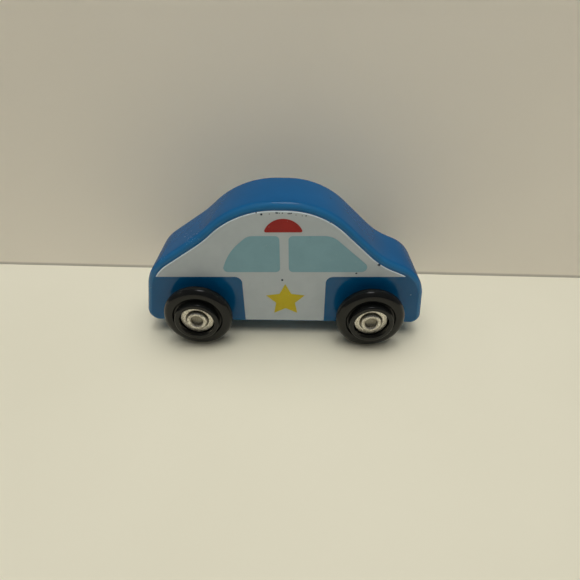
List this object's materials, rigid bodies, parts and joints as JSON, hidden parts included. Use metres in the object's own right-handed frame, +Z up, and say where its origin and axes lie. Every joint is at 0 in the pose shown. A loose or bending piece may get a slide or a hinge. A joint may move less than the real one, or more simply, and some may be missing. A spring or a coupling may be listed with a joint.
{
  "type": "toy police car",
  "caption": "Small wooden push-along police car: blue block body with rounded edges, printed white side panel, windows, beacon and star, and black wheels that turn on metal axles.",
  "frame": {"origin": "on the floor under the middle of the car, between the wheels", "axes": "+X towards the hood, +Y towards the car's left side, +Z up"},
  "size_m": [0.093, 0.0374, 0.0488],
  "materials": {
    "blue_paint": "gloss paint over wood",
    "white_ink": "satin printed paint layer",
    "window_ink": "satin printed paint layer",
    "red_ink": "satin printed paint layer",
    "yellow_ink": "satin printed paint layer",
    "wheel_black": "gloss moulded",
    "steel": "bright plated, lightly worn"
  },
  "bodies": {
    "car": {"body": "blue_paint", "right_panel": "white_ink", "right_rear_window": "window_ink", "right_front_window": "window_ink", "right_beacon": "red_ink", "right_star": "yellow_ink", "left_panel": "white_ink", "left_rear_window": "window_ink", "left_front_window": "window_ink", "left_beacon": "red_ink", "left_star": "yellow_ink"},
    "front_axle_set": {"front_axle": "steel", "front_right_washer": "steel", "front_left_washer": "steel"},
    "rear_axle_set": {"rear_axle": "steel", "rear_right_washer": "steel", "rear_left_washer": "steel"},
    "front_right_wheel": {"front_right_wheel": "wheel_black"},
    "front_left_wheel": {"front_left_wheel": "wheel_black"},
    "rear_right_wheel": {"rear_right_wheel": "wheel_black"},
    "rear_left_wheel": {"rear_left_wheel": "wheel_black"}
  },
  "joints": [
    {"name": "front_axle_turn", "type": "hinge", "parent": "car", "child": "front_axle_set", "pos_m": [0.0281, 0, 0.01115], "axis": [0, 1, 0], "continuous": true},
    {"name": "rear_axle_turn", "type": "hinge", "parent": "car", "child": "rear_axle_set", "pos_m": [-0.0279, 0, 0.01115], "axis": [0, 1, 0], "continuous": true},
    {"name": "front_right_wheel_turn", "type": "hinge", "parent": "front_axle_set", "child": "front_right_wheel", "pos_m": [0.0281, 0, 0.01115], "axis": [0, 1, 0], "continuous": true},
    {"name": "front_left_wheel_turn", "type": "hinge", "parent": "front_axle_set", "child": "front_left_wheel", "pos_m": [0.0281, 0, 0.01115], "axis": [0, 1, 0], "continuous": true},
    {"name": "rear_right_wheel_turn", "type": "hinge", "parent": "rear_axle_set", "child": "rear_right_wheel", "pos_m": [-0.0279, 0, 0.01115], "axis": [0, 1, 0], "continuous": true},
    {"name": "rear_left_wheel_turn", "type": "hinge", "parent": "rear_axle_set", "child": "rear_left_wheel", "pos_m": [-0.0279, 0, 0.01115], "axis": [0, 1, 0], "continuous": true}
  ]
}
